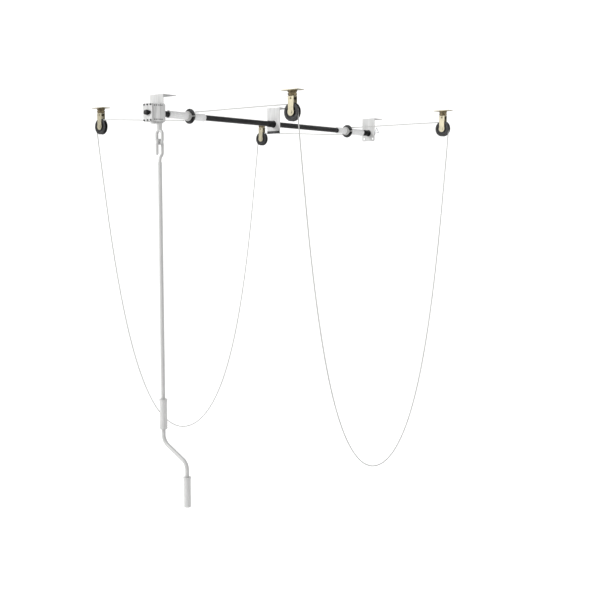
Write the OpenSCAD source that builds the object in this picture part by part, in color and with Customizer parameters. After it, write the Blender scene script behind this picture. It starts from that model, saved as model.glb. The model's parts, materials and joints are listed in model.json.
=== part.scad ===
// Ceiling mounted pulley rack: a crank-driven worm winch turns one shaft under the ceiling, two drums
// on the shaft take up four ropes, and the ropes run over four pulleys to two slings that carry a load.
// Millimetres. X runs along the load, Y along the shaft away from the winch, Z up.
// The origin is on the ceiling plane, at the centre of the middle bracket's screw holes.

/* [Layout] */
// Distance from the shaft to the pulleys on the -X side
left_x = 640; // [500:10:900]
// Distance from the shaft to the pulleys on the +X side
right_x = 555; // [500:5:900]
// Half the distance between the front and rear pulleys
row_y = 580; // [570:1:585]
// Depth of the shaft axis below the ceiling
shaft_drop = 78; // [76:1:80]
// Depth of the pulley axles below the ceiling
axle_drop = 89; // [88:1:92]

/* [Shaft] */
// Outside diameter of the shaft tubes
tube_d = 25; // [24:0.5:26]
// Outside diameter of the drum sleeves
drum_d = 32; // [31:1:34]
// Diameter of the drum flanges
flange_d = 65; // [55:1:75]
// Diameter of the rope
rope_d = 5; // [4:0.5:5]

/* [Pulleys] */
// Diameter of a pulley wheel
wheel_d = 75; // [74:1:76]
// Width of a pulley wheel
wheel_w = 16; // [15:0.5:17]
// Length of a pulley's ceiling plate
plate_l = 84; // [82:1:110]
// Width of a pulley's ceiling plate
plate_w = 44; // [42:1:60]

/* [Brackets] */
// Width of a bracket
bracket_w = 80; // [74:1:90]
// Height of a bracket
bracket_h = 121; // [119:1:140]
// Length of a bracket's ceiling flange
bracket_l = 75; // [74:1:90]

/* [Winch] */
// Number of teeth on the worm wheel
wheel_teeth = 17; // [17:1:17]
// Module of the worm gear
gear_module = 2.5; // [2.5:0.5:2.5]

/* [Crank] */
// Outside diameter of the crank tube
crank_d = 17; // [17:0.5:18]
// Sideways throw of the crank
crank_throw = 142; // [110:1:150]
// Diameter of the upper grip
upper_grip_d = 35; // [31:1:38]
// Diameter of the lower grip
lower_grip_d = 33; // [29:1:36]

/* [Hidden] */

$fn = 48;
running_gap = 0.06;

// Colours
white = [0.93, 0.93, 0.92];
off_white = [0.85, 0.85, 0.84];
black = [0.10, 0.10, 0.11];
gold = [0.80, 0.73, 0.48];
steel = [0.72, 0.72, 0.73];
bronze = [0.70, 0.52, 0.30];
rope_white = [0.92, 0.92, 0.90];

// Derived places
shaft_z = -shaft_drop;
axle_z = -axle_drop;
tube_r = tube_d / 2;
drum_r = drum_d / 2;
flange_r = flange_d / 2;
rope_r = rope_d / 2;
wheel_r = wheel_d / 2;
crank_r = crank_d / 2;

// Pulley places: front is the winch end, left is the -X side
row_centre = 17;
front_row = row_centre - row_y;
rear_row = row_centre + row_y;
AT_FL = [-left_x, front_row];
AT_FR = [right_x, front_row];
AT_RL = [-left_x, rear_row];
AT_RR = [right_x, rear_row];
PULLEYS = [AT_FL, AT_FR, AT_RL, AT_RR];

// Brackets: where each upright plate's front face is along the shaft
sheet = 3;
winch_plate_y = -789;
middle_plate_y = -40;
end_plate_y = 743;
screw_hole_d = 7;
flange_hole_x = 44;
flange_hole_y = 40;
flange_hole_start = 20;
bush_hole_r = 16;
bracket_corner = 8;
spare_hole_x = 28;
spare_hole_z = -108;
spare_hole_r = 6;
bush_flange_r = 17;
bush_flange_t = 1;

// Shaft, from the winch to the end pin
tube_wall = 2;
tube_start = -789.5;
tube_joint = -62;
tube_end = 792;
end_pin_y = 779;
end_pin_r = 3;
coupler_y = [-78, -41.5];
collar_y = [704, 741.5];
sleeve_r = 15;
slip = 0.05;

// Drums: [start, flange centre, end] along the shaft
DRUM_FRONT = [-725, -597, -511];
DRUM_REAR = [463, 552, 682];
lip_w = 4;
lip_h = 1;
flange_t = 4;
winding_w = 20;
slot_w = 6;
set_screw_r = 2.5;
screw_inset = 8;

// Winch gearbox, in front of the winch bracket
box_w = 54;
box_h = 75;
box_corner = 6;
box_front = -836;
cover_front = -840;
boss_front = -841.5;
rear_plate_back = -776;
rear_plate_w = 79;
worm_x = 33;
worm_y = -805;
bulge_r = 16.5;
bulge_side = 48;
flank_x = 26;
flank_y = -833;
flank_r = bulge_r - 0.1;
flank_d = norm([worm_x - flank_x, worm_y - flank_y]);
flank_angle = atan2(worm_y - flank_y, worm_x - flank_x) - asin(flank_r / flank_d);
worm_bore_r = 14.75;
worm_bore_z = [-102.5, -53.5];
wheel_cavity_r = 24.6;
wheel_cavity_y = -816;
journal_hole_r = 8;
journal_top = -46;
boss_bottom = -120;
boss_r = 14;
cover_screw_x = 20;
cover_screw_z = 32;
cover_screw_r = 2;
cover_screw_tip = -826.5;
box_bolt_x = 21;
box_bolt_z = 30;
box_bolt_r = 2.5;
box_bolt_tip = -803;
front_bearing_r = 10;
front_bearing_back = -819;
journal_r = 7;
side_hole_r = 1.9;
side_hole_depth = 4;
SIDE_HOLES_Z = [-49, -107];
SIDE_HOLES_AT = [-46, -20, 4];
FLANK_HOLES_AT = [-17, -8.5];
front_flange_t = 3;
hub_gap = 0.5;

// Worm gear: one thread, so one turn of the crank moves the wheel by one tooth
lead = PI * gear_module;
gear_pitch_r = wheel_teeth * gear_module / 2;
worm_pitch_r = worm_x - gear_pitch_r;
worm_tip_r = worm_pitch_r + gear_module;
worm_root_r = worm_pitch_r - 1.24 * gear_module;
worm_inner_r = 6.15;
worm_crest = 0.5;
worm_base = 2.3;
worm_half_length = 21;
worm_sides = 32;
worm_step = lead / 8;
worm_rings = floor(2 * worm_half_length / worm_step);
gear_tip_r = gear_pitch_r + 0.86 * gear_module;
gear_root_r = gear_pitch_r - 1.22 * gear_module;
gear_tip_half = 0.7;
gear_root_half = 2.1;
gear_half_w = 7;
hex_r = 8.083;
hex_play = 0.12;
spindle_r = 6;
spindle_top = -47;

// Crank eye below the gearbox: a ring in the XZ plane, whose bottom bar carries the hook
eye_r = 16.5;
eye_bar_r = 6.5;
eye_top_z = -168;
eye_bottom_z = -189;
eye_collar_r = 12;
eye_collar_z = [-126, -120.5];
eye_neck_r = 10;
eye_neck_bottom = -148.5;

// Crank hook and tube. A bend is a hair thicker than its bar, which runs a little way into it
bend_swell = 0.1;
run_in = 1;
hook_r = 6.3;
hook_arch_r = 15;
hook_rest_gap = 0.3;
hook_z = eye_bottom_z - eye_r + eye_bar_r + hook_rest_gap + hook_r - hook_arch_r;
hook_tip_z = -248;
hook_point_z = -255;
hook_point_r = 3;
hook_leg_z = -240;
hook_bend_r = 28;
hook_bend_angle = 40;
hook_end_z = -330;
crank_wall = 1.9;
crank_top = -284;
crank_bend_z = -1448;
crank_bend_r = 46;
crank_bend_angle = 62;
crank_end_z = -1731;
hook_pin_z = -305;
hook_pin_r = 2;
UPPER_GRIP_Z = [-1422, -1292];
LOWER_GRIP_Z = [-1738, -1609];
grip_lip = 1.5;
grip_lip_h = 8;
grip_play = 0.08;
ring_r = 11;
ring_h = 2;
ring_gap = 0.6;

// Pulleys
plate_hole_x = 64;
plate_hole_y = 26;
leg_gap = 9.2;
leg_t = 2.5;
leg_half_w = 15;
leg_waist = 14;
leg_end_r = 16;
crown_half_w = 16;
crown_z = -26;
shoulder_z = -50;
waist_z = -66;
axle_r = 4;
axle_half = 13;
axle_head_r = 7;
axle_head_t = 2;
sleeve_out_r = 6;
keeper_z = -35;
keeper_r = 4;
keeper_pin_r = 2.5;
kingpin_r = 5;
kingpin_head_r = 9;
kingpin_head_t = 1.5;
groove_r = 30.6;
groove_round = 3.5;
groove_rim_half = 6.5;
hub_r = 13;
hub_half_w = 8.8;
web_in_r = 15;
web_out_r = 27;
web_depth = 3;

// Rope routes, drawn at the default sizes. Each run goes from its drum, over its wheel and down to
// the height of the axle; each sling hangs in one deep loop from there to the other pulley
RUN_FL = [[-15, -617, -97], [-640, -563, -58.5], [-649.5, -563, -60], [-658, -563, -64.5],
          [-664.5, -563, -71], [-669, -563, -79.5], [-670.5, -563, -89]];
RUN_FR = [[15, -577, -59], [555, -563, -58.5], [564.5, -563, -60], [573, -563, -64.5],
          [579.5, -563, -71], [584, -563, -79.5], [585.5, -563, -89]];
RUN_RL = [[-15, 532, -97], [-640, 597, -58.5], [-649.5, 597, -60], [-658, 597, -64.5],
          [-664.5, 597, -71], [-669, 597, -79.5], [-670.5, 597, -89]];
RUN_RR = [[15, 572, -59], [555, 597, -58.5], [564.5, 597, -60], [573, 597, -64.5],
          [579.5, 597, -71], [584, 597, -79.5], [585.5, 597, -89]];
// Half of a sling, from its pulley to the lowest point: distance from the middle, height
SLING_HALF = [[580, -89], [580, -111], [540, -404], [500, -662], [450, -919], [400, -1120], [350, -1275],
              [300, -1394], [250, -1485], [200, -1552], [150, -1601], [100, -1634], [50, -1653]];
sling_bottom_z = -1659;
sling_left_x = -670.5;
sling_right_x = 585.5;
rope_sides = 8;
down = [0, 0, -1];
up = [0, 0, 1];

// ---- Shared shapes ----

module rod_x(r, x0, x1, y, z) translate([x0, y, z]) rotate([0, 90, 0]) cylinder(r = r, h = x1 - x0);
module rod_y(r, y0, y1, x = 0, z = shaft_z)
  translate([x, y0, z]) rotate([-90, 0, 0]) cylinder(r = r, h = y1 - y0);
module rod_z(r, z0, z1, x = 0, y = 0) translate([x, y, z0]) cylinder(r = r, h = z1 - z0);

module ring_y(r_in, r_out, y0, y1, x = 0, z = shaft_z) {
  difference() {
    rod_y(r_out, y0, y1, x, z);
    rod_y(r_in, y0 - 1, y1 + 1, x, z);
  }
}

module ring_z(r_in, r_out, z0, z1, x, y) {
  difference() {
    rod_z(r_out, z0, z1, x, y);
    rod_z(r_in, z0 - 1, z1 + 1, x, y);
  }
}

// A flat shape in X and Z, given depth along the shaft
module along_y(y0, y1) translate([0, y1, 0]) rotate([90, 0, 0]) linear_extrude(y1 - y0) children();

module rounded_rect(w, h, r) {
  square([w - 2 * r, h], center = true);
  square([w, h - 2 * r], center = true);
  for (x = [-1, 1], y = [-1, 1]) translate([x * (w / 2 - r), y * (h / 2 - r)]) circle(r);
}

// An arc of round bar: in the XZ plane, or in the YZ plane
module bend(bend_r, from, angle, r)
  rotate([0, 0, from]) rotate_extrude(angle = angle) translate([bend_r, 0]) circle(r);
module bend_xz(at, bend_r, from, angle, r) translate(at) rotate([90, 0, 0]) bend(bend_r, from, angle, r);
module bend_yz(at, bend_r, from, angle, r) translate(at) rotate([90, 0, 90]) bend(bend_r, from, angle, r);

// ---- Rope tubes ----

function unit(v) = v / norm(v);
function last(list) = len(list) - 1;
function direction(p, i, first_dir, last_dir) =
  i == 0 ? first_dir : i == last(p) ? last_dir : unit(p[i + 1] - p[i - 1]);
function ring(centre, dir, side) =
  let (u = unit(cross(dir, side)), v = cross(dir, u))
  [for (k = [0:rope_sides - 1])
    let (a = 360 * (k + 0.5) / rope_sides)
    centre + rope_r * (cos(a) * u + sin(a) * v)];

// Sweeps the rope's section along p. side is a direction across the plane in which p bends
module rope_tube(p, first_dir, last_dir, side) {
  n = rope_sides;
  points = [for (i = [0:last(p)]) each ring(p[i], direction(p, i, first_dir, last_dir), side)];
  walls = [for (i = [0:last(p) - 1], k = [0:n - 1])
    [i * n + k, i * n + (k + 1) % n, (i + 1) * n + (k + 1) % n, (i + 1) * n + k]];
  start_cap = [[for (k = [n - 1:-1:0]) k]];
  end_cap = [[for (k = [0:n - 1]) last(p) * n + k]];
  color(rope_white) polyhedron(points = points, faces = concat(walls, start_cap, end_cap), convexity = 10);
}

module rope_run(p) rope_tube(p, unit(p[1] - p[0]), down, [0, 1, 0]);

module rope_sling(x) {
  front_half = [for (q = SLING_HALF) [x, row_centre - q[0], q[1]]];
  rear_half = [for (i = [last(SLING_HALF):-1:0]) [x, row_centre + SLING_HALF[i][0], SLING_HALF[i][1]]];
  rope_tube(concat(front_half, [[x, row_centre, sling_bottom_z]], rear_half), down, up, [1, 0, 0]);
}

// ---- Brackets and their bushes ----

module bracket(plate_y) {
  difference() {
    union() {
      along_y(plate_y, plate_y + sheet) {
        translate([0, -bracket_h / 2]) rounded_rect(bracket_w, bracket_h, bracket_corner);
        translate([-bracket_w / 2, -bracket_h / 2]) square([bracket_w, bracket_h / 2]);
      }
      translate([-bracket_w / 2, plate_y, -sheet]) cube([bracket_w, bracket_l, sheet]);
    }
    for (x = [-1, 1], y = [0, flange_hole_y])
      rod_z(screw_hole_d / 2, -sheet - 1, 1, x * flange_hole_x / 2, plate_y + flange_hole_start + y);
    rod_y(bush_hole_r, plate_y - 1, plate_y + sheet + 1);
  }
}

module bracket_winch() {
  color(white) difference() {
    bracket(winch_plate_y);
    box_bolt_places() rod_y(box_bolt_r + 0.1, winch_plate_y - 1, winch_plate_y + sheet + 1, 0, 0);
  }
}

module bracket_middle() color(white) bracket(middle_plate_y);

module bracket_end() {
  color(white) difference() {
    bracket(end_plate_y);
    for (x = [-1, 1])
      rod_y(spare_hole_r, end_plate_y - 1, end_plate_y + sheet + 1, x * spare_hole_x, spare_hole_z);
  }
}

// A black edging that is pushed onto the middle bracket's lower edge
module middle_edge_strip() {
  strip_h = 12;
  strip_wall = 1.5;
  strip_w = bracket_w - 4;
  color(black) difference() {
    translate([-strip_w / 2, middle_plate_y - strip_wall, -bracket_h - strip_wall])
      cube([strip_w, sheet + 2 * strip_wall, strip_h]);
    bracket(middle_plate_y);
  }
}

// A flanged bush for the shaft in a bracket's plate
module shaft_bush(plate_y) {
  color(black) difference() {
    union() {
      rod_y(bush_hole_r - slip, plate_y - bush_flange_t, plate_y + 2 * sheet);
      rod_y(bush_flange_r, plate_y - bush_flange_t, plate_y);
    }
    rod_y(tube_r + running_gap, plate_y - bush_flange_t - 1, plate_y + 2 * sheet + 1);
  }
}

// ---- Winch gearbox ----

module box_bolt_places()
  for (x = [-1, 1], z = [-1, 1]) translate([x * box_bolt_x, 0, shaft_z + z * box_bolt_z]) children();
module cover_screw_places()
  for (x = [-1:1], z = [-1, 1]) translate([x * cover_screw_x, 0, shaft_z + z * cover_screw_z]) children();

// The worm's side of the gearbox, seen from above: a round bulge with a flat flank in front
module bulge_outline() {
  difference() {
    union() {
      translate([worm_x, worm_y]) circle(bulge_r);
      translate([worm_x - bulge_r, worm_y - bulge_r]) square([bulge_r, 2 * bulge_r]);
      translate([worm_x - 1, worm_y]) square([bulge_side - worm_x + 1, bulge_r]);
      polygon([[flank_x, flank_y], [worm_x + flank_r * sin(flank_angle), worm_y - flank_r * cos(flank_angle)],
               [worm_x, worm_y], [flank_x, worm_y]]);
    }
    translate([worm_x - 2 * bulge_r, winch_plate_y]) square([4 * bulge_r, bulge_r]);
  }
}

// Two rows of small holes round the bulge and its flank, above and below the worm
module side_hole(z, angle, along = 0)
  translate([worm_x, worm_y, z]) rotate([0, 0, angle])
    rod_x(side_hole_r, bulge_r - side_hole_depth, bulge_r + 1, along, 0);
module side_holes() {
  for (z = SIDE_HOLES_Z, a = SIDE_HOLES_AT) side_hole(z, a);
  for (z = SIDE_HOLES_Z, along = FLANK_HOLES_AT) side_hole(z, flank_angle - 90, along);
}

module gearbox_body() {
  box_z0 = shaft_z - box_h / 2;
  color(white) difference() {
    union() {
      along_y(box_front, winch_plate_y) translate([0, shaft_z]) rounded_rect(box_w, box_h, box_corner);
      translate([0, 0, box_z0]) linear_extrude(box_h) bulge_outline();
      rod_z(boss_r, boss_bottom, box_z0 + 1, worm_x, worm_y);
    }
    rod_y(wheel_cavity_r, wheel_cavity_y, winch_plate_y + 1);
    rod_y(front_bearing_r, box_front - 1, wheel_cavity_y + 1);
    rod_z(worm_bore_r, worm_bore_z[0], worm_bore_z[1], worm_x, worm_y);
    rod_z(journal_hole_r, boss_bottom - 1, journal_top, worm_x, worm_y);
    side_holes();
    cover_screw_places() rod_y(cover_screw_r + 0.1, box_front - 1, cover_screw_tip + 0.5, 0, 0);
    box_bolt_places() rod_y(box_bolt_r + 0.1, box_bolt_tip - 0.5, winch_plate_y + 1, 0, 0);
  }
}

module gearbox_cover() {
  boss_ring_r = 12;
  color(white) difference() {
    union() {
      along_y(cover_front, box_front) translate([0, shaft_z]) rounded_rect(box_w, box_h, box_corner);
      rod_y(boss_ring_r, boss_front, cover_front);
    }
    rod_y(front_bearing_r, boss_front - 1, box_front + 1);
    cover_screw_places() rod_y(cover_screw_r + 0.1, cover_front - 1, box_front + 1, 0, 0);
  }
}

module gearbox_rear_plate() {
  front = winch_plate_y + sheet;
  color(white) difference() {
    along_y(front, rear_plate_back) translate([0, shaft_z]) rounded_rect(rear_plate_w, box_h, bracket_corner);
    rod_y(bush_hole_r, front - 1, rear_plate_back + 1);
    box_bolt_places() rod_y(box_bolt_r + 0.1, front - 1, rear_plate_back + 1, 0, 0);
  }
}

module gearbox_screws() {
  head_r = 3.5;
  head_t = 3;
  color(steel) cover_screw_places() difference() {
    union() {
      rod_y(head_r, cover_front - head_t, cover_front, 0, 0);
      rod_y(cover_screw_r, cover_front - 1, cover_screw_tip, 0, 0);
    }
    rod_y(1.6, cover_front - head_t - 1, cover_front - 1.2, 0, 0, $fn = 6);
  }
}

module gearbox_bolts() {
  head_r = 4.6;
  head_t = 3.5;
  color(steel) box_bolt_places() {
    rod_y(head_r, rear_plate_back, rear_plate_back + head_t, 0, 0, $fn = 6);
    rod_y(box_bolt_r, box_bolt_tip, rear_plate_back + 1, 0, 0);
  }
}

// The black two-bolt flange round the shaft's front end, with its screw heads
module front_flange() {
  lobe_x = 14.5;
  lobe_r = 6.5;
  middle_r = 11;
  screw_head_r = 3.2;
  screw_head_t = 2;
  front = boss_front - front_flange_t;
  color(black) difference() {
    union() {
      along_y(front, boss_front) translate([0, shaft_z]) {
        circle(middle_r);
        for (x = [-1, 1]) translate([x * lobe_x, 0]) circle(lobe_r);
        polygon([[-3.4, 10.3], [3.4, 10.3], [16.4, 6], [16.4, -6],
                 [3.4, -10.3], [-3.4, -10.3], [-16.4, -6], [-16.4, 6]]);
      }
      for (x = [-1, 1]) rod_y(screw_head_r, front - screw_head_t, front + 1, x * lobe_x, shaft_z);
      for (x = [-1, 1]) rod_y(2, boss_front - 1, cover_front, x * lobe_x, shaft_z);
    }
    rod_y(journal_r + 0.3, front - 1, boss_front + 1);
    for (x = [-1, 1]) rod_y(1.6, front - screw_head_t - 1, front - 0.5, x * lobe_x, shaft_z, $fn = 6);
  }
}

module bearing_front()
  color(bronze) ring_y(journal_r + running_gap, front_bearing_r - slip, boss_front, front_bearing_back);

module bearing_rear() {
  flange_back = rear_plate_back + bush_flange_t;
  color(bronze) difference() {
    union() {
      rod_y(bush_hole_r - slip, winch_plate_y, flange_back);
      rod_y(bush_flange_r, rear_plate_back, flange_back);
    }
    rod_y(tube_r + running_gap, winch_plate_y - 1, flange_back + 1);
  }
}

module worm_bushes() {
  color(bronze) {
    ring_z(spindle_r + running_gap, journal_hole_r - slip, worm_bore_z[1], journal_top - 0.3, worm_x, worm_y);
    ring_z(spindle_r + running_gap, journal_hole_r - slip, boss_bottom, worm_bore_z[0], worm_x, worm_y);
  }
}

// ---- Worm gear ----

// Radius of the worm at an angle and height, from how far it is from the middle of the thread
function worm_radius(angle, z) =
  let (turns = (z - lead * (angle - 180) / 360) / lead, off = abs(turns - round(turns)) * lead)
  off <= worm_crest ? worm_tip_r :
  off >= worm_base ? worm_root_r :
  worm_tip_r - (worm_tip_r - worm_root_r) * (off - worm_crest) / (worm_base - worm_crest);

module worm() {
  n = worm_sides;
  m = worm_rings;
  z0 = -worm_step * m / 2;
  outer = [for (j = [0:m], i = [0:n - 1])
    let (a = 360 * i / n, z = z0 + j * worm_step, r = worm_radius(a, z)) [r * cos(a), r * sin(a), z]];
  inner = [for (j = [0, m], i = [0:n - 1])
    let (a = 360 * i / n) [worm_inner_r * cos(a), worm_inner_r * sin(a), z0 + j * worm_step]];
  first_in = (m + 1) * n;
  next = [for (i = [0:n - 1]) (i + 1) % n];
  walls = [for (j = [0:m - 1], i = [0:n - 1], half = [0, 1])
    half == 0 ? [j * n + i, (j + 1) * n + i, (j + 1) * n + next[i]]
              : [j * n + i, (j + 1) * n + next[i], j * n + next[i]]];
  bore = [for (i = [0:n - 1])
    [first_in + i, first_in + next[i], first_in + n + next[i], first_in + n + i]];
  bottom = [for (i = [0:n - 1]) [i, next[i], first_in + next[i], first_in + i]];
  top = [for (i = [0:n - 1]) [m * n + i, first_in + n + i, first_in + n + next[i], m * n + next[i]]];
  color(steel) translate([worm_x, worm_y, shaft_z])
    polyhedron(points = concat(outer, inner), faces = concat(walls, bore, bottom, top), convexity = 10);
}

module worm_wheel() {
  tip_a = gear_tip_half / gear_tip_r * 180 / PI;
  root_a = gear_root_half / gear_root_r * 180 / PI;
  tooth = [[gear_root_r, -root_a], [gear_tip_r, -tip_a], [gear_tip_r, tip_a], [gear_root_r, root_a]];
  outline = [for (k = [0:wheel_teeth - 1], p = tooth)
    let (a = 360 * (k + 0.5) / wheel_teeth + p[1]) [p[0] * cos(a), p[0] * sin(a)]];
  color(bronze) along_y(worm_y - gear_half_w, worm_y + gear_half_w) translate([0, shaft_z]) difference() {
    polygon(outline);
    circle(hex_r + hex_play, $fn = 6);
  }
}

module gear_shaft() {
  plug_start = -791;
  plug_end = -753;
  color(steel) {
    rod_y(journal_r, boss_front - 11.5, wheel_cavity_y);
    rod_y(hex_r, wheel_cavity_y, plug_start, 0, shaft_z, $fn = 6);
    rod_y(tube_r - tube_wall - slip, plug_start, plug_end);
  }
}

// The black star-shaped hub on the shaft's front end
module drive_hub() {
  lobes = 6;
  hub_back = boss_front - front_flange_t - hub_gap;
  hub_front = hub_back - 9;
  lobe_at = 7.8;
  color(black) difference() {
    union() {
      rod_y(8.5, hub_front, hub_back);
      for (a = [0:360 / lobes:359])
        rod_y(2.8, hub_front + 1, hub_back, lobe_at * cos(a), shaft_z + lobe_at * sin(a));
    }
    rod_y(journal_r + 0.02, hub_front - 1, hub_back + 1);
  }
}

// The spindle that carries the worm, with the crank eye forged on its lower end
module worm_eye() {
  color(off_white) {
    rod_z(spindle_r, eye_collar_z[0], spindle_top, worm_x, worm_y);
    rod_z(eye_collar_r, eye_collar_z[0], eye_collar_z[1], worm_x, worm_y);
    translate([worm_x, worm_y, eye_neck_bottom])
      cylinder(r1 = eye_neck_r, r2 = eye_collar_r, h = eye_collar_z[0] - eye_neck_bottom);
    translate([worm_x, worm_y, eye_neck_bottom + run_in]) sphere(eye_neck_r + bend_swell);
    bend_xz([worm_x, worm_y, eye_top_z], eye_r, 0, 180, eye_bar_r);
    bend_xz([worm_x, worm_y, eye_bottom_z], eye_r, 180, 180, eye_bar_r);
    for (x = [-1, 1]) rod_z(eye_bar_r, eye_bottom_z, eye_top_z, worm_x + x * eye_r, worm_y);
  }
}

// ---- Crank ----

// A round bar that comes straight down, steps sideways by shift towards +X and goes on down
module stepped_bar(r, shift, bend_r, angle, z_top, z_bend, z_end) {
  c = cos(angle);
  s = sin(angle);
  slope = (shift - 2 * bend_r * (1 - c)) / s;
  z_low = z_bend - 2 * bend_r * s - slope * c;
  rod_z(r, z_bend - run_in, z_top);
  bend_xz([bend_r, 0, z_bend], bend_r, 180, angle, r + bend_swell);
  translate([bend_r * (1 - c), 0, z_bend - bend_r * s]) rotate([0, 180 - angle, 0]) translate([0, 0, -run_in])
    cylinder(r = r, h = slope + 2 * run_in);
  bend_xz([shift - bend_r, 0, z_low], bend_r, 0, angle, r + bend_swell);
  rod_z(r, z_end, z_low + run_in, shift, 0);
}

module crank_hook() {
  front_y = worm_y - hook_arch_r;
  back_y = worm_y + hook_arch_r;
  color(off_white) difference() {
    union() {
      bend_yz([worm_x, worm_y, hook_z], hook_arch_r, 0, 180, hook_r);
      rod_z(hook_r, hook_tip_z, hook_z, worm_x, front_y);
      translate([worm_x, front_y, hook_point_z])
        cylinder(r1 = hook_point_r, r2 = hook_r, h = hook_tip_z - hook_point_z);
      translate([worm_x, back_y, 0]) rotate([0, 0, -90])
        stepped_bar(hook_r, hook_arch_r, hook_bend_r, hook_bend_angle, hook_z, hook_leg_z, hook_end_z);
    }
    rod_x(hook_pin_r + slip, worm_x - 2 * crank_r, worm_x + 2 * crank_r, worm_y, hook_pin_z);
  }
}

module crank_line(r, z_top, z_end) translate([worm_x, worm_y, 0])
  stepped_bar(r, crank_throw, crank_bend_r, crank_bend_angle, z_top, crank_bend_z, z_end);

module crank_tube() {
  color(off_white) difference() {
    crank_line(crank_r, crank_top, crank_end_z);
    crank_line(crank_r - crank_wall, crank_top + 1, crank_end_z - 1);
    rod_x(hook_pin_r + slip, worm_x - 2 * crank_r, worm_x + 2 * crank_r, worm_y, hook_pin_z);
  }
}

module hook_pin()
  color(steel) rod_x(hook_pin_r, worm_x - crank_r - 0.3, worm_x + crank_r + 0.3, worm_y, hook_pin_z);

// Spring rings that keep the two grips in place on the crank
module grip_rings() {
  above = ring_gap;
  below = -ring_gap - ring_h;
  places = [[0, UPPER_GRIP_Z[1] + above], [0, UPPER_GRIP_Z[0] + below], [crank_throw, LOWER_GRIP_Z[1] + above]];
  color(off_white) for (p = places)
    ring_z(crank_r + 0.02, ring_r, p[1], p[1] + ring_h, worm_x + p[0], worm_y);
}

module upper_grip() {
  r = upper_grip_d / 2;
  color(off_white) difference() {
    union() {
      rod_z(r - grip_lip, UPPER_GRIP_Z[0], UPPER_GRIP_Z[1], worm_x, worm_y);
      rod_z(r, UPPER_GRIP_Z[1] - grip_lip_h, UPPER_GRIP_Z[1], worm_x, worm_y);
      for (rib = [3:10:23])
        rod_z(r - grip_lip / 2, UPPER_GRIP_Z[0] + rib, UPPER_GRIP_Z[0] + rib + 5, worm_x, worm_y);
    }
    rod_z(crank_r + grip_play, UPPER_GRIP_Z[0] - 1, UPPER_GRIP_Z[1] + 1, worm_x, worm_y);
  }
}

module lower_grip() {
  r = lower_grip_d / 2;
  x = worm_x + crank_throw;
  color(off_white) difference() {
    union() {
      rod_z(r - grip_lip, LOWER_GRIP_Z[0], LOWER_GRIP_Z[1], x, worm_y);
      rod_z(r, LOWER_GRIP_Z[1] - grip_lip_h, LOWER_GRIP_Z[1], x, worm_y);
    }
    rod_z(crank_r + grip_play, crank_end_z - 2, LOWER_GRIP_Z[1] + 1, x, worm_y);
  }
}

// ---- Shaft ----

module shaft_tube_winch() {
  color(black) ring_y(tube_r - tube_wall, tube_r, tube_start, tube_joint);
}

module shaft_tube_end() {
  color(black) difference() {
    ring_y(tube_r - tube_wall, tube_r, tube_joint, tube_end);
    rod_x(end_pin_r + slip, -2 * tube_r, 2 * tube_r, end_pin_y, shaft_z);
  }
}

// Every place with a set screw: [place along the shaft, outside radius there]
SET_SCREWS = [[coupler_y[0] + screw_inset, sleeve_r], [coupler_y[1] - screw_inset, sleeve_r],
              [collar_y[0] + screw_inset, sleeve_r],
              [DRUM_FRONT[0] + 2 * screw_inset, drum_r], [DRUM_FRONT[2] - 2 * screw_inset, drum_r],
              [DRUM_REAR[0] + 2 * screw_inset, drum_r], [DRUM_REAR[2] - 2 * screw_inset, drum_r]];

module set_screw_holes()
  for (s = SET_SCREWS) rod_z(set_screw_r + slip, shaft_z + tube_r + slip, shaft_z + s[1] + 2, 0, s[0]);

module set_screws() {
  color(steel) for (s = SET_SCREWS) difference() {
    rod_z(set_screw_r, shaft_z + tube_r + 2 * slip, shaft_z + s[1] - 0.2, 0, s[0]);
    rod_z(1.4, shaft_z + s[1] - 1.6, shaft_z + s[1] + 1, 0, s[0], $fn = 6);
  }
}

module shaft_coupler() color(black) difference() {
  ring_y(tube_r + slip, sleeve_r, coupler_y[0], coupler_y[1]);
  set_screw_holes();
}

module end_collar() color(black) difference() {
  ring_y(tube_r + slip, sleeve_r, collar_y[0], collar_y[1]);
  set_screw_holes();
}

module drum(d) {
  color(off_white) difference() {
    union() {
      rod_y(drum_r, d[0], d[2]);
      for (y = [d[0], d[2] - lip_w]) rod_y(drum_r + lip_h, y, y + lip_w);
    }
    rod_y(tube_r + slip, d[0] - 1, d[2] + 1);
    set_screw_holes();
  }
}

// The slot lets the rope cross from one side of the flange to the other
module drum_flange(d) {
  color(black) difference() {
    ring_y(drum_r + slip, flange_r, d[1] - flange_t / 2, d[1] + flange_t / 2);
    translate([drum_r - 1, d[1] - flange_t, shaft_z - slot_w / 2]) cube([flange_r, 2 * flange_t, slot_w]);
  }
}

// Rope wound on the drum on both sides of its flange, as one ring of the rope's thickness each
module rope_winding(d) {
  near = flange_t / 2 + 0.5;
  color(rope_white) for (s = [-1, 1]) {
    y0 = s < 0 ? d[1] - near - winding_w : d[1] + near;
    ring_y(drum_r + slip, drum_r + rope_d, y0, y0 + winding_w);
  }
}

// Locking pin through the shaft's far end, with a pull ring of bent wire
module end_pin() {
  wire_r = 1.5;
  corners = [[16, -76], [43, -74], [30, -48]];
  color(steel) {
    rod_x(end_pin_r, -20, 19, end_pin_y, shaft_z);
    rod_x(5, -22, -19, end_pin_y, shaft_z);
    for (k = [0:2]) wire_side(corners[k], corners[(k + 1) % 3], wire_r);
    for (c = corners) translate([c[0], end_pin_y, c[1]]) sphere(wire_r + bend_swell);
  }
}

module wire_side(a, b, r) {
  d = b - a;
  translate([a[0], end_pin_y, a[1]]) rotate([0, atan2(d[0], d[1]), 0]) cylinder(r = r, h = norm(d));
}

// ---- Pulleys ----

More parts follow.
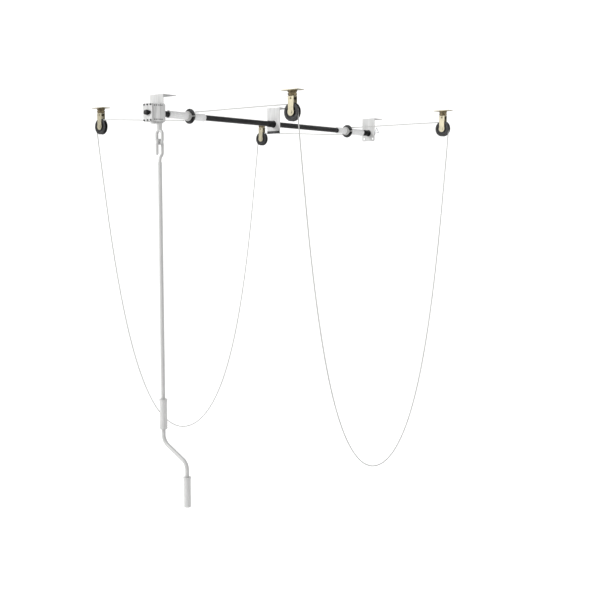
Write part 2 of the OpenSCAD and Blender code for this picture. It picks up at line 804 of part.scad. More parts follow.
module pulley_plate(at) {
  color(gold) difference() {
    translate([at[0] - plate_l / 2, at[1] - plate_w / 2, -sheet]) cube([plate_l, plate_w, sheet]);
    for (x = [-1, 1], y = [-1, 1])
      rod_z(screw_hole_d / 2, -sheet - 1, 1, at[0] + x * plate_hole_x / 2, at[1] + y * plate_hole_y / 2);
    rod_z(kingpin_r + slip, -sheet - 1, 1, at[0], at[1]);
  }
}

// One leg, seen along the axle: square at the top, slightly waisted, with a wider round end
module leg_outline() {
  polygon([[-leg_half_w, crown_z], [-leg_half_w, shoulder_z], [-leg_waist, waist_z], [-leg_waist, axle_z],
           [leg_waist, axle_z], [leg_waist, waist_z], [leg_half_w, shoulder_z], [leg_half_w, crown_z]]);
  translate([0, axle_z]) circle(leg_end_r);
}

module pulley_fork(at) {
  outer = leg_gap + leg_t;
  color(gold) translate([at[0], at[1], 0]) difference() {
    union() {
      for (y = [-outer, leg_gap]) along_y(y, y + leg_t) leg_outline();
      translate([-crown_half_w, -outer, crown_z - sheet]) cube([2 * crown_half_w, 2 * outer, sheet]);
    }
    rod_y(axle_r + slip, -outer - 1, outer + 1, 0, axle_z);
    rod_y(keeper_pin_r + slip, -outer - 1, outer + 1, 0, keeper_z);
    rod_z(kingpin_r + slip, crown_z - sheet - 1, crown_z + 1);
  }
}

module each_pulley() for (at = PULLEYS) translate([at[0], at[1], 0]) children();

module pulley_axles() {
  outer = leg_gap + leg_t;
  color(gold) each_pulley() {
    rod_y(axle_r, -axle_half, axle_half, 0, axle_z);
    rod_y(axle_head_r, -outer - axle_head_t, -outer, 0, axle_z);
    rod_y(axle_head_r - 1.5, outer, outer + axle_head_t, 0, axle_z);
  }
}

module axle_sleeves()
  color(steel) each_pulley() ring_y(axle_r + slip, sleeve_out_r, -leg_gap, leg_gap, 0, axle_z);

// The turned neck between plate and fork, with the kingpin that is headed over under the fork
module pulley_necks() {
  crown_bottom = crown_z - sheet;
  color(gold) each_pulley() {
    rod_z(kingpin_r, crown_bottom - kingpin_head_t, -0.1);
    rod_z(kingpin_head_r, crown_bottom - kingpin_head_t, crown_bottom);
    rotate_extrude() polygon([[0, -sheet], [19.5, -sheet], [19.5, -10], [16.5, -11], [16.5, -14], [19, -15],
                              [19, -22], [15.5, crown_z], [0, crown_z]]);
  }
}

module rope_keepers() {
  outer = leg_gap + leg_t;
  color(gold) each_pulley() {
    rod_y(keeper_r, -leg_gap, leg_gap, 0, keeper_z);
    rod_y(keeper_pin_r, -outer, outer, 0, keeper_z);
    for (y = [-outer - 1, outer]) rod_y(keeper_r, y, y + 1, 0, keeper_z);
  }
}

// Half of the wheel's section, radius by half width
module wheel_section() {
  half_w = wheel_w / 2;
  web_half = half_w - web_depth;
  bore = sleeve_out_r + running_gap;
  rim_out = wheel_r + 1;
  difference() {
    polygon([[bore, -hub_half_w], [hub_r, -hub_half_w], [web_in_r, -web_half], [web_out_r - 2, -web_half],
             [web_out_r, -half_w], [wheel_r, -half_w], [wheel_r, half_w], [web_out_r, half_w],
             [web_out_r - 2, web_half], [web_in_r, web_half], [hub_r, hub_half_w], [bore, hub_half_w]]);
    translate([groove_r, 0]) circle(groove_round);
    polygon([[groove_r, -groove_round], [rim_out, -groove_rim_half],
             [rim_out, groove_rim_half], [groove_r, groove_round]]);
  }
}

module pulley_wheel(at) {
  color(black) translate([at[0], at[1], axle_z]) rotate([-90, 0, 0]) rotate_extrude() wheel_section();
}

// ---- Nodes ----

bracket_winch();
bracket_middle();
bracket_end();
middle_edge_strip();
shaft_bush(middle_plate_y);  // bush_middle
shaft_bush(end_plate_y);  // bush_end
gearbox_body();
gearbox_cover();
gearbox_rear_plate();
gearbox_screws();
gearbox_bolts();
front_flange();
bearing_front();
bearing_rear();
worm_bushes();
pulley_plate(AT_FL);  // pulley_plate_fl
pulley_plate(AT_FR);  // pulley_plate_fr
pulley_plate(AT_RL);  // pulley_plate_rl
pulley_plate(AT_RR);  // pulley_plate_rr
pulley_fork(AT_FL);  // pulley_fork_fl
pulley_fork(AT_FR);  // pulley_fork_fr
pulley_fork(AT_RL);  // pulley_fork_rl
pulley_fork(AT_RR);  // pulley_fork_rr
pulley_axles();
axle_sleeves();
pulley_necks();
rope_keepers();
rope_run(RUN_FL);  // rope_run_fl
rope_run(RUN_FR);  // rope_run_fr
rope_run(RUN_RL);  // rope_run_rl
rope_run(RUN_RR);  // rope_run_rr
rope_sling(sling_left_x);  // rope_sling_left
rope_sling(sling_right_x);  // rope_sling_right
shaft_tube_winch();
shaft_tube_end();
shaft_coupler();
end_collar();
drum(DRUM_FRONT);  // drum_front
drum(DRUM_REAR);  // drum_rear
drum_flange(DRUM_FRONT);  // drum_flange_front
drum_flange(DRUM_REAR);  // drum_flange_rear
rope_winding(DRUM_FRONT);  // rope_winding_front
rope_winding(DRUM_REAR);  // rope_winding_rear
set_screws();
gear_shaft();
worm_wheel();
drive_hub();
end_pin();
worm();
worm_eye();
crank_hook();
crank_tube();
hook_pin();
grip_rings();
upper_grip();
lower_grip();
pulley_wheel(AT_FL);  // pulley_wheel_fl
pulley_wheel(AT_FR);  // pulley_wheel_fr
pulley_wheel(AT_RL);  // pulley_wheel_rl
pulley_wheel(AT_RR);  // pulley_wheel_rr
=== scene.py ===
"""Looks of the ceiling mounted pulley rack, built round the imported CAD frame. Metres throughout."""
import json
import math

import bpy
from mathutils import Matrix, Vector


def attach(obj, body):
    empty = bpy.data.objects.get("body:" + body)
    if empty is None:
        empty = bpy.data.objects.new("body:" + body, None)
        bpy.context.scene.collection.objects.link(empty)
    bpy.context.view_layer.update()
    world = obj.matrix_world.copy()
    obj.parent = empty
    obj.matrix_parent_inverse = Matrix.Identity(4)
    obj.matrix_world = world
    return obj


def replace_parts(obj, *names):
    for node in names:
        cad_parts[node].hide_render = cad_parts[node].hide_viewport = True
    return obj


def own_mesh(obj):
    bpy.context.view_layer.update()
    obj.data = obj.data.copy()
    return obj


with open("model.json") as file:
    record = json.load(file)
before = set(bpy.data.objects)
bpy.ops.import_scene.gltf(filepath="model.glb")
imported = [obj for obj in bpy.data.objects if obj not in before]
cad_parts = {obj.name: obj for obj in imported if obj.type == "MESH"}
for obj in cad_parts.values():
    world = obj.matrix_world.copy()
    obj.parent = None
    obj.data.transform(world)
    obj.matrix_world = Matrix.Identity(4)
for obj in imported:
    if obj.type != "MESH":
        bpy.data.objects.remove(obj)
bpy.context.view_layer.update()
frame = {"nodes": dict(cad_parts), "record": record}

ROOT = "mounts_and_ropes"
SHAFT = "shaft_body"
ROPE_R = 0.0025
DRUM_ROPE_R = 0.0185
SHAFT_Z = -0.078
ROPE_SIDES = 12

# ---- Camera, at the photograph's angle ----

CAMERA_AT = Vector((3.1095, -3.6247, -0.4544))
CAMERA_AZIMUTH = math.radians(39.4)
CAMERA_PITCH = math.radians(5.67)
CAMERA_LENS_MM = 58.57
CAMERA_SENSOR_MM = 36


def add_camera():
    data = bpy.data.cameras.new("camera")
    data.lens = CAMERA_LENS_MM
    data.sensor_width = CAMERA_SENSOR_MM
    data.clip_end = 60
    camera = bpy.data.objects.new("camera", data)
    camera.location = CAMERA_AT
    camera.rotation_euler = (math.radians(90) - CAMERA_PITCH, 0, CAMERA_AZIMUTH)
    bpy.context.scene.collection.objects.link(camera)
    bpy.context.scene.camera = camera


# ---- Node helpers ----


class Shader:
    """A Principled material with short calls for the nodes that its detail is made of."""

    def __init__(self, name, **constants):
        self.material = bpy.data.materials.new(name)
        self.material.use_nodes = True
        self.tree = self.material.node_tree
        self.bsdf = self.tree.nodes["Principled BSDF"]
        for key, value in constants.items():
            self.set(key.replace("_", " "), value)

    def set(self, socket, value):
        self.bsdf.inputs[socket].default_value = value

    def node(self, kind, inputs=(), **settings):
        node = self.tree.nodes.new(kind)
        for key, value in settings.items():
            setattr(node, key, value)
        for key, value in dict(inputs).items():
            self.feed(node.inputs[key], value)
        return node

    def feed(self, socket, value):
        if isinstance(value, bpy.types.NodeSocket):
            self.tree.links.new(value, socket)
        else:
            socket.default_value = value

    def place(self, stretch=(1, 1, 1)):
        """Where a point is in the row frame, stretched so that a pattern can run along one axis."""
        coordinates = self.node("ShaderNodeTexCoord").outputs["Object"]
        if stretch == (1, 1, 1):
            return coordinates
        return self.node("ShaderNodeMapping", {"Vector": coordinates, "Scale": stretch}).outputs["Vector"]

    def noise(self, scale, detail=3.0, roughness=0.55, stretch=(1, 1, 1), vector=None):
        inputs = {"Vector": vector or self.place(stretch), "Scale": scale, "Detail": detail,
                  "Roughness": roughness}
        return self.node("ShaderNodeTexNoise", inputs).outputs["Fac"]

    def range(self, value, low, high, to_low=0.0, to_high=1.0):
        inputs = {"Value": value, "From Min": low, "From Max": high, "To Min": to_low, "To Max": to_high}
        return self.node("ShaderNodeMapRange", inputs).outputs["Result"]

    def math(self, operation, a, b=0.0, c=0.0):
        return self.node("ShaderNodeMath", {0: a, 1: b, 2: c}, operation=operation).outputs["Value"]

    def mix(self, factor, a, b):
        node = self.node("ShaderNodeMix", data_type="RGBA")
        self.feed(node.inputs["Factor"], factor)
        self.feed(node.inputs["A"], rgba(a))
        self.feed(node.inputs["B"], rgba(b))
        return node.outputs["Result"]

    def colour(self, value):
        self.feed(self.bsdf.inputs["Base Color"], rgba(value))

    def roughness(self, value):
        self.feed(self.bsdf.inputs["Roughness"], value)

    def edges(self, radius, gain=6.0):
        """0 on flat stretches and 1 on sharp outer edges, from how far a rounded normal leans."""
        rounded = self.node("ShaderNodeBevel", {"Radius": radius}, samples=4).outputs["Normal"]
        normal = self.node("ShaderNodeNewGeometry").outputs["Normal"]
        dot = self.node("ShaderNodeVectorMath", {0: rounded, 1: normal}, operation="DOT_PRODUCT").outputs["Value"]
        return self.range(dot, 1.0 - 1.0 / gain, 0.995, 1.0, 0.0)

    def bump(self, height, distance, strength=1.0, round_edges=0.0006):
        inputs = {"Height": height, "Distance": distance, "Strength": strength}
        if round_edges:
            inputs["Normal"] = self.node("ShaderNodeBevel", {"Radius": round_edges}, samples=4).outputs["Normal"]
        self.feed(self.bsdf.inputs["Normal"], self.node("ShaderNodeBump", inputs).outputs["Normal"])


def rgba(value):
    return value if isinstance(value, bpy.types.NodeSocket) or len(value) == 4 else (*value, 1.0)


# ---- Materials ----


def coated(name, colour, worn, roughness=0.38, orange_peel=0.00006, dust=0.5, streaks=0.0,
           painted_underside_shade=0.0, gloss=0.5):
    """Powder coat over steel: orange-peel skin, faint patches, dust, and edges worn a little.

    streaks adds faint drawn lines up and down the sheet, the underside amount darkens
    the faces that look down with painted shade, and gloss is its specular level."""
    s = Shader(name)
    s.set("Specular IOR Level", gloss)
    patches = s.noise(14, 4)
    fine = s.noise(260, 2)
    specks = s.range(s.noise(900, 2), 0.62, 0.70)
    base = s.mix(s.range(patches, 0.3, 0.7, 0.0, 1.0), colour, tuple(c * 0.94 for c in colour))
    base = s.mix(s.math("MULTIPLY", specks, 0.10 * dust), base, worn)
    chips = s.math("MULTIPLY", s.edges(0.0007), s.range(s.noise(170, 3), 0.45, 0.62))
    base = s.mix(s.math("MULTIPLY", chips, 0.7), base, worn)
    if streaks:
        lines = s.range(s.noise(190, 3, 0.6, stretch=(1, 1, 0.04)), 0.44, 0.62)
        base = s.mix(s.math("MULTIPLY", lines, streaks), base, tuple(c * 0.45 for c in colour))
    # Painted shade: faces that look down are darkened towards a tenth of the coat's colour
    if painted_underside_shade:
        normal = s.node("ShaderNodeNewGeometry").outputs["Normal"]
        up = s.node("ShaderNodeSeparateXYZ", {"Vector": normal}).outputs["Z"]
        base = s.mix(s.range(up, -0.98, -0.80, painted_underside_shade, 0.0), base, tuple(c * 0.10 for c in colour))
    s.colour(base)
    s.roughness(s.range(s.noise(45, 3), 0.3, 0.7, roughness - 0.06, roughness + 0.08))
    s.bump(fine, orange_peel)
    return s.material


def speckled(name):
    """The drums' hammered light grey coat, with darker and paler flecks."""
    s = Shader(name)
    cells = s.node("ShaderNodeTexVoronoi", {"Vector": s.place(), "Scale": 420.0}).outputs["Distance"]
    flecks = s.range(s.noise(520, 3), 0.52, 0.60)
    pale = s.range(s.noise(300, 2), 0.60, 0.68)
    base = s.mix(s.math("MULTIPLY", flecks, 0.75), (0.57, 0.57, 0.57), (0.33, 0.33, 0.34))
    base = s.mix(s.math("MULTIPLY", pale, 0.8), base, (0.76, 0.76, 0.75))
    s.colour(base)
    s.roughness(s.range(s.noise(60, 3), 0.3, 0.7, 0.38, 0.52))
    s.bump(s.math("ADD", cells, s.math("MULTIPLY", flecks, 0.4)), 0.00012)
    return s.material


def metal(name, colour, tint, roughness=0.3, brush=(1, 1, 1), scratch=0.00003):
    """Bare or plated metal: brushed one way, with cloudy tints and darker spots."""
    s = Shader(name, Metallic=1.0)
    clouds = s.noise(38, 4)
    lines = s.noise(1400, 2, stretch=brush)
    spots = s.range(s.noise(210, 3), 0.62, 0.74)
    base = s.mix(s.range(clouds, 0.35, 0.65), colour, tint)
    base = s.mix(s.math("MULTIPLY", spots, 0.35), base, tuple(c * 0.55 for c in colour))
    s.colour(base)
    wear = s.math("ADD", lines, s.math("MULTIPLY", clouds, 0.5))
    s.roughness(s.range(wear, 0.4, 1.1, roughness - 0.08, roughness + 0.14))
    s.bump(lines, scratch, round_edges=0.0004)
    return s.material


def moulded(name, colour, roughness=0.5, grain=0.00004, scale=700, gloss=0.45):
    """Moulded plastic: fine spark-eroded grain, scuffed a little on its edges."""
    s = Shader(name)
    s.set("Specular IOR Level", gloss)
    grain_height = s.noise(scale, 2)
    scuffs = s.range(s.noise(75, 5, 0.7), 0.56, 0.72)
    pale = tuple(min(1.0, c * 1.25 + 0.035) for c in colour)
    base = s.mix(s.math("MULTIPLY", scuffs, 0.5), colour, pale)
    base = s.mix(s.math("MULTIPLY", s.edges(0.0006), 0.3), base, pale)
    s.colour(base)
    s.roughness(s.range(s.noise(55, 3), 0.3, 0.7, roughness - 0.07, roughness + 0.09))
    s.bump(grain_height, grain)
    return s.material


def braided(name):
    """Braided white line. The mesh's UV map holds turns round the rope and pitches along it."""
    s = Shader(name, Roughness=0.72)
    s.set("Sheen Weight", 0.35)
    s.set("Sheen Roughness", 0.5)
    uv = s.node("ShaderNodeUVMap", uv_map="braid").outputs["UV"]
    parts = s.node("ShaderNodeSeparateXYZ", {"Vector": uv})
    around = s.math("MULTIPLY", parts.outputs["X"], 4.0)
    along = parts.outputs["Y"]
    right = s.math("ADD", around, along)
    left = s.math("SUBTRACT", around, along)
    # Each strand is a rounded ridge, and the two families take turns on top as in a plain braid
    ridge_right = s.math("SINE", s.math("MULTIPLY", s.math("FRACT", right), math.pi))
    ridge_left = s.math("SINE", s.math("MULTIPLY", s.math("FRACT", left), math.pi))
    turn = s.math("MODULO", s.math("ADD", s.math("FLOOR", right), s.math("FLOOR", left)), 2.0)
    on_top = s.math("ABSOLUTE", turn)
    picked = s.node("ShaderNodeMix", data_type="FLOAT")
    s.feed(picked.inputs["Factor"], on_top)
    s.feed(picked.inputs["A"], ridge_right)
    s.feed(picked.inputs["B"], ridge_left)
    height = picked.outputs["Result"]
    fibres = s.noise(2600, 2)
    grime = s.range(s.noise(22, 4), 0.45, 0.75)
    # Darker in the grooves between the strands than on their tops: painted shade
    base = s.mix(s.range(height, 0.05, 0.7), (0.18, 0.18, 0.175), (0.42, 0.42, 0.41))
    base = s.mix(s.math("MULTIPLY", grime, 0.2), base, (0.34, 0.335, 0.32))
    s.colour(base)
    s.bump(s.math("ADD", height, s.math("MULTIPLY", fibres, 0.25)), 0.0004, round_edges=0)
    return s.material


def backdrop(name):
    """The studio's pale floor and walls, matt, with barely visible rolled-paint mottling."""
    s = Shader(name)
    s.set("Specular IOR Level", 0.1)
    paint = s.mix(s.range(s.noise(1.3, 3), 0.35, 0.65), (0.91, 0.91, 0.91), (0.89, 0.89, 0.89))
    s.colour(paint)
    # A lit wall: it glows a little by itself, as a light tent does
    s.feed(s.bsdf.inputs["Emission Color"], paint)
    s.set("Emission Strength", 0.10)
    s.roughness(0.95)
    return s.material


def make_materials():
    return {
        "white_coated_steel": coated("white_powder_coat", (0.45, 0.45, 0.446), (0.26, 0.26, 0.26),
                                     streaks=0.42, painted_underside_shade=0.75),
        "black_coated_steel": coated("black_powder_coat", (0.006, 0.006, 0.0065), (0.12, 0.12, 0.12),
                                     0.42, 0.00003, gloss=0.15),
        "grey_coated_steel": coated("grey_powder_coat", (0.38, 0.38, 0.376), (0.26, 0.26, 0.26), 0.34),
        "grey_drum": speckled("speckled_drum_coat"),
        "black_plastic": moulded("black_plastic", (0.008, 0.008, 0.0085), 0.45, gloss=0.3),
        "black_nylon": moulded("black_nylon", (0.006, 0.006, 0.0064), 0.40, gloss=0.3),
        "pale_plastic": moulded("pale_grip_plastic", (0.42, 0.42, 0.416), 0.5, 0.00006),
        "zinc_steel": metal("bright_zinc", (0.48, 0.49, 0.51), (0.38, 0.40, 0.43), 0.30),
        # A darker copy of the yellow zinc: painted shade for the pulley necks and rope keepers
        "painted_shade_yellow_zinc": metal("yellow_zinc_painted_shade", (0.16, 0.132, 0.080), (0.082, 0.064, 0.038), 0.28),
        # Dark, rough zinc for the top plates: its darkness is painted shade
        "plate_zinc_painted_shade": metal("plate_zinc_painted_shade", (0.085, 0.081, 0.066), (0.06, 0.057, 0.047), 0.55),
        "yellow_zinc_steel": metal("yellow_zinc", (0.31, 0.285, 0.205), (0.25, 0.23, 0.172), 0.42),
        "bronze": metal("bearing_bronze", (0.62, 0.42, 0.20), (0.50, 0.33, 0.17), 0.34),
        "worm_steel": metal("machined_steel", (0.50, 0.50, 0.51), (0.40, 0.40, 0.42), 0.22),
        "rope": braided("braided_rope"),
    }


# The necks and keepers take a darker copy of the yellow zinc, and the top plates a darker, rougher zinc: their
# darkness is painted shade.
# The cover's screws are blackened
SPECIAL = {"pulley_necks": "painted_shade_yellow_zinc", "rope_keepers": "painted_shade_yellow_zinc", "pulley_plates": "plate_zinc_painted_shade",
           "gearbox_screws": "black_coated_steel"}


def paint_frame(materials):
    slots = {part["node"]: part["material_slot"] for part in frame["record"]["subparts"]}
    for name, obj in frame["nodes"].items():
        obj.data.materials.clear()
        obj.data.materials.append(materials[SPECIAL.get(name, slots[name])])


# ---- Ropes ----

# Each run goes from its drum over a wheel and down to the height of the axle. Each sling hangs
# from there in one deep loop to the other pulley
OVER_WHEEL = [(0, -0.0585), (0.0095, -0.060), (0.018, -0.0645), (0.0245, -0.071), (0.029, -0.0795),
              (0.0305, -0.089)]
LEFT_X = -0.640
RIGHT_X = 0.555
FRONT_Y = -0.563
REAR_Y = 0.597
MIDDLE_Y = 0.017
SLING_HALF = [(0.580, -0.089), (0.580, -0.111), (0.540, -0.404), (0.500, -0.662), (0.450, -0.919), (0.400, -1.120),
              (0.350, -1.275), (0.300, -1.394), (0.250, -1.485), (0.200, -1.552), (0.150, -1.601),
              (0.100, -1.634), (0.050, -1.653)]
SLING_BOTTOM_Z = -1.659

# Rope on each drum: flange, and the turns nearest to the drum's ends on the -X and +X rope's side
FRONT_DRUM = (-0.597, -0.617, -0.577)
REAR_DRUM = (0.552, 0.532, 0.572)


def run_route(start, wheel_x, y):
    side = 1 if wheel_x > 0 else -1
    over = [(wheel_x + side * out, y, z) for out, z in OVER_WHEEL]
    return [Vector(p) for p in [start, *over]]


def sling_route(x):
    front = [(x, MIDDLE_Y - y, z) for y, z in SLING_HALF]
    back = [(x, MIDDLE_Y + y, z) for y, z in reversed(SLING_HALF)]
    return [Vector(p) for p in [*front, (x, MIDDLE_Y, SLING_BOTTOM_Z), *back]]


def smooth(points, step, first=None, last=None):
    """Points about a step apart on a smooth curve through the given ones, with end directions."""
    before = points[0] - first * (points[1] - points[0]).length if first else 2 * points[0] - points[1]
    after = points[-1] + last * (points[-1] - points[-2]).length if last else 2 * points[-1] - points[-2]
    padded = [before, *points, after]
    out = []
    for a, b, c, d in zip(padded, padded[1:], padded[2:], padded[3:]):
        # Centripetal knots keep long and short stretches from overshooting each other
        t = [0.0]
        for p, q in ((a, b), (b, c), (c, d)):
            t.append(t[-1] + max((q - p).length, 1e-9) ** 0.5)
        count = max(1, round((c - b).length / step))
        for k in range(count):
            u = t[1] + (t[2] - t[1]) * k / count
            ab = a.lerp(b, (u - t[0]) / (t[1] - t[0]))
            bc = b.lerp(c, (u - t[1]) / (t[2] - t[1]))
            cd = c.lerp(d, (u - t[2]) / (t[3] - t[2]))
            abc = ab.lerp(bc, (u - t[0]) / (t[2] - t[0]))
            bcd = bc.lerp(cd, (u - t[1]) / (t[3] - t[1]))
            out.append(abc.lerp(bcd, (u - t[1]) / (t[2] - t[1])))
    out.append(points[-1].copy())
    return out


def rope_mesh(name, points, pitch=0.006):
    """A tube along the points, whose UV map counts turns round it and braid pitches along it."""
    n = ROPE_SIDES
    vertices, uvs, along = [], [], 0.0
    normal = None
    for i, p in enumerate(points):
        ahead = points[min(i + 1, len(points) - 1)]
        behind = points[max(i - 1, 0)]
        tangent = (ahead - behind).normalized()
        if normal is None:
            normal = tangent.orthogonal().normalized()
        normal = (normal - tangent * normal.dot(tangent)).normalized()
        other = tangent.cross(normal)
        if i:
            along += (p - points[i - 1]).length
        for k in range(n):
            angle = 2 * math.pi * k / n
            vertices.append(p + ROPE_R * (math.cos(angle) * normal + math.sin(angle) * other))
            uvs.append(along / pitch)
    faces, face_uvs = [], []
    for i in range(len(points) - 1):
        for k in range(n):
            a, b = i * n + k, i * n + (k + 1) % n
            faces.append((a, b, b + n, a + n))
            face_uvs.append([(k / n, uvs[a]), ((k + 1) / n, uvs[b]),
                             ((k + 1) / n, uvs[b + n]), (k / n, uvs[a + n])])
    for first in (0, (len(points) - 1) * n):
        cap = tuple(range(first, first + n))
        faces.append(cap if first else cap[::-1])
        face_uvs.append([(0.0, 0.0)] * n)
    mesh = bpy.data.meshes.new(name)
    mesh.from_pydata(vertices, [], faces)
    layer = mesh.uv_layers.new(name="braid")
    flat = [uv for face in face_uvs for uv in face]
    for loop, uv in zip(layer.data, flat):
        loop.uv = uv
    mesh.polygons.foreach_set("use_smooth", [True] * len(mesh.polygons))
    obj = bpy.data.objects.new(name, mesh)
    bpy.context.scene.collection.objects.link(obj)
    return obj


def add_ropes(material):
    runs = {"fl": (LEFT_X, FRONT_Y, (-0.015, FRONT_DRUM[1], -0.097)),
            "rl": (LEFT_X, REAR_Y, (-0.015, REAR_DRUM[1], -0.097)),
            "fr": (RIGHT_X, FRONT_Y, (0.015, FRONT_DRUM[2], -0.059)),
            "rr": (RIGHT_X, REAR_Y, (0.015, REAR_DRUM[2], -0.059))}
    for place, (x, y, start) in runs.items():
        route = run_route(start, x, y)
        straight = (route[1] - route[0]).normalized()
        centre = smooth(route, 0.0035, straight, Vector((0, 0, -1)))
        rope = rope_mesh("rope_" + place, centre)
        rope.data.materials.append(material)
        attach(rope, ROOT)
        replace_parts(rope, "rope_run_" + place)
    for side, x in (("left", LEFT_X - OVER_WHEEL[-1][0]), ("right", RIGHT_X + OVER_WHEEL[-1][0])):
        route = sling_route(x)
        centre = smooth(route, 0.006)
        sling = rope_mesh("sling_" + side, centre)
        sling.data.materials.append(material)
        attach(sling, ROOT)
        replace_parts(sling, "rope_sling_" + side)
        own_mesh(sling)


def add_winding(name, flange_y, left_y, right_y, material):
    """Rope on a drum: turns on both sides of the flange, joined through the flange's slot."""
    pitch = 0.0052

    def on_drum(turns, y):
        angle = 2 * math.pi * turns
        return Vector((DRUM_ROPE_R * math.sin(angle), y, SHAFT_Z - DRUM_ROPE_R * math.cos(angle)))

    steps = 80
    inward = 1 if flange_y > left_y else -1
    left_turns, right_turns = 2.17, 2.67
    points = [on_drum(left_turns * k / steps, left_y + inward * pitch * left_turns * k / steps)
              for k in range(steps + 1)]
    left_end = left_y + inward * pitch * left_turns
    right_end = right_y - inward * pitch * right_turns
    points += [on_drum(0.215, left_end + inward * 0.0012), on_drum(0.245, left_end + inward * 0.0042),
               on_drum(0.25, flange_y), on_drum(0.245, right_end - inward * 0.0042),
               on_drum(0.215, right_end - inward * 0.0012)]
    points += [on_drum(0.5 + right_turns * k / steps, right_y - inward * pitch * right_turns * k / steps)
               for k in range(steps, -1, -1)]
    rope = rope_mesh(name, smooth(points, 0.002))
    rope.data.materials.append(material)
    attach(rope, SHAFT)
    return rope


def add_windings(material):
    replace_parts(add_winding("rope_on_front_drum", *FRONT_DRUM, material), "rope_winding_front")
    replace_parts(add_winding("rope_on_rear_drum", *REAR_DRUM, material), "rope_winding_rear")


# ---- Turned pieces: the small screws round the gearbox, whose black is painted shade in their holes, and the cap in its hub ----

WORM_AT = Vector((0.033, -0.805, 0))
BULGE_R = 0.0165
SCREW_ROWS_Z = (-0.049, -0.107)
FLANK_ANGLE = -48.67

# Each screw's angle round the bulge in degrees, and how far it lies along the flat flank
SCREWS = [(-46, 0), (-20, 0), (4, 0), (FLANK_ANGLE, -0.017), (FLANK_ANGLE, -0.0085)]

# Height over the surface and radius, from the screw's tip to the bottom of its socket
SCREW_PROFILE = [(-0.0036, 0.0018), (-0.00025, 0.0018), (-0.00025, 0.0025), (0.00035, 0.0025), (0.00075, 0.0021),
                 (0.0009, 0.0015), (0.0009, 0.00105), (-0.0002, 0.00095)]

# The hub's cap, from its rim on the shaft's end to the bottom of the dimple in its middle
HUB_CENTRE = Vector((0, -0.853, SHAFT_Z))
CAP_PROFILE = [(0.00002, 0.00693), (0.0001, 0.0070), (0.00045, 0.0070), (0.00066, 0.00665), (0.00082, 0.00574),
               (0.00093, 0.0042), (0.00098, 0.0025), (0.0009, 0.0017), (0.00062, 0.00126), (0.00052, 0.0006)]


def turned(profile, centre, axis, sides, vertices, faces):
    """Add a turned solid along a level axis. The profile holds heights along it and radii."""
    across = Vector((-axis.y, axis.x, 0))
    first = len(vertices)
    for height, radius in profile:
        for k in range(sides):
            turn = 2 * math.pi * k / sides
            ring = math.cos(turn) * across + Vector((0, 0, math.sin(turn)))
            vertices.append(centre + axis * height + ring * radius)
    for i in range(len(profile) - 1):
        for k in range(sides):
            a, b = first + i * sides + k, first + i * sides + (k + 1) % sides
            faces.append((a, b, b + sides, a + sides))
    last = first + (len(profile) - 1) * sides
    faces.append(tuple(range(first + sides - 1, first - 1, -1)))
    faces.append(tuple(range(last, last + sides)))


def add_turned_piece(name, vertices, faces, material, body):
    mesh = bpy.data.meshes.new(name)
    mesh.from_pydata(vertices, [], faces)
    mesh.materials.append(material)
    mesh.polygons.foreach_set("use_smooth", [len(face) == 4 for face in faces])
    mesh.set_sharp_from_angle(angle=math.radians(50))
    obj = bpy.data.objects.new(name, mesh)
    bpy.context.scene.collection.objects.link(obj)
    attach(obj, body)


def add_side_screws(material):
    """Black socket screws in the two rows of holes round the bulge and along its flat flank. Their black is
    painted shade: it darkens the holes as their shade would.
    """
    vertices, faces = [], []
    for z in SCREW_ROWS_Z:
        for degrees, along in SCREWS:
            angle = math.radians(degrees)
            outward = Vector((math.cos(angle), math.sin(angle), 0))
            across = Vector((-math.sin(angle), math.cos(angle), 0))
            centre = WORM_AT + Vector((0, 0, z)) + outward * BULGE_R + across * along
            turned(SCREW_PROFILE, centre, outward, 16, vertices, faces)
    add_turned_piece("side_screws_painted_shade", vertices, faces, material, ROOT)


def add_hub_cap(material):
    """Black domed cap that hides the bare end of the gear shaft."""
    vertices, faces = [], []
    turned(CAP_PROFILE, HUB_CENTRE, Vector((0, -1, 0)), 48, vertices, faces)
    add_turned_piece("hub_cap", vertices, faces, material, SHAFT)


# ---- Studio ----

FLOOR_Z = -2.40
STAGE_R = 9.0
STAGE_CURVE = 2.5
STAGE_WALL = 5.0


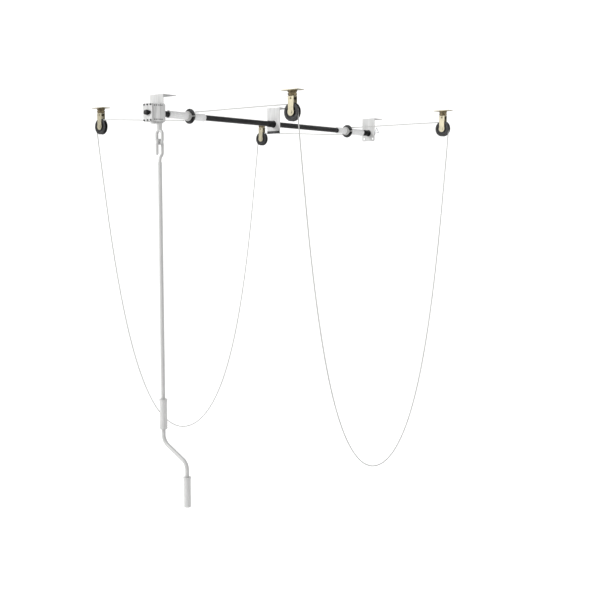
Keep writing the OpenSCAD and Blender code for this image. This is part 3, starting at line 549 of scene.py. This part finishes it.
def add_stage(material):
    """A round pale floor that curves up into a wall, the same from every side."""
    segments = 96
    profile = [(0.01, FLOOR_Z), (STAGE_R - STAGE_CURVE, FLOOR_Z)]
    for k in range(1, 13):
        angle = math.radians(90) * k / 12
        profile.append((STAGE_R - STAGE_CURVE + STAGE_CURVE * math.sin(angle),
                        FLOOR_Z + STAGE_CURVE * (1 - math.cos(angle))))
    profile.append((STAGE_R, FLOOR_Z + STAGE_CURVE + STAGE_WALL))
    vertices = [(r * math.cos(2 * math.pi * k / segments), r * math.sin(2 * math.pi * k / segments), z)
                for r, z in profile for k in range(segments)]
    faces = [(i * segments + k, i * segments + (k + 1) % segments,
              (i + 1) * segments + (k + 1) % segments, (i + 1) * segments + k)
             for i in range(len(profile) - 1) for k in range(segments)]
    faces.append(tuple(range(segments))[::-1])
    mesh = bpy.data.meshes.new("studio")
    mesh.from_pydata(vertices, [], faces)
    mesh.polygons.foreach_set("use_smooth", [True] * len(mesh.polygons))
    mesh.materials.append(material)
    obj = bpy.data.objects.new("studio", mesh)
    bpy.context.scene.collection.objects.link(obj)


def add_area(name, at, target, size, power, colour=(1, 1, 1)):
    data = bpy.data.lights.new(name, "AREA")
    data.shape = "RECTANGLE"
    data.size, data.size_y = size
    data.energy = power
    data.color = colour
    light = bpy.data.objects.new(name, data)
    light.location = at
    light.rotation_euler = (Vector(target) - Vector(at)).to_track_quat("-Z", "Y").to_euler()
    bpy.context.scene.collection.objects.link(light)


def add_lights():
    world = bpy.data.worlds.new("studio_world")
    world.use_nodes = True
    world.node_tree.nodes["Background"].inputs["Color"].default_value = (1, 1, 1, 1)
    world.node_tree.nodes["Background"].inputs["Strength"].default_value = 0.76
    bpy.context.scene.world = world
    middle = (0, 0, -0.4)
    add_area("key", (-3.5, -7.0, 3.1), middle, (1.0, 0.8), 540)
    add_area("side", (4.6, 1.4, 1.2), middle, (1.6, 2.2), 25)
    add_area("back", (-3.5, 3.6, 2.2), middle, (2.4, 1.4), 50)


# ---- Build ----

add_camera()
materials = make_materials()
add_ropes(materials["rope"])
add_windings(materials["rope"])
add_side_screws(materials["black_plastic"])
add_hub_cap(materials["black_plastic"])
paint_frame(materials)
add_stage(backdrop("studio_paint"))
add_lights()
bpy.context.scene.view_settings.view_transform = "Standard"
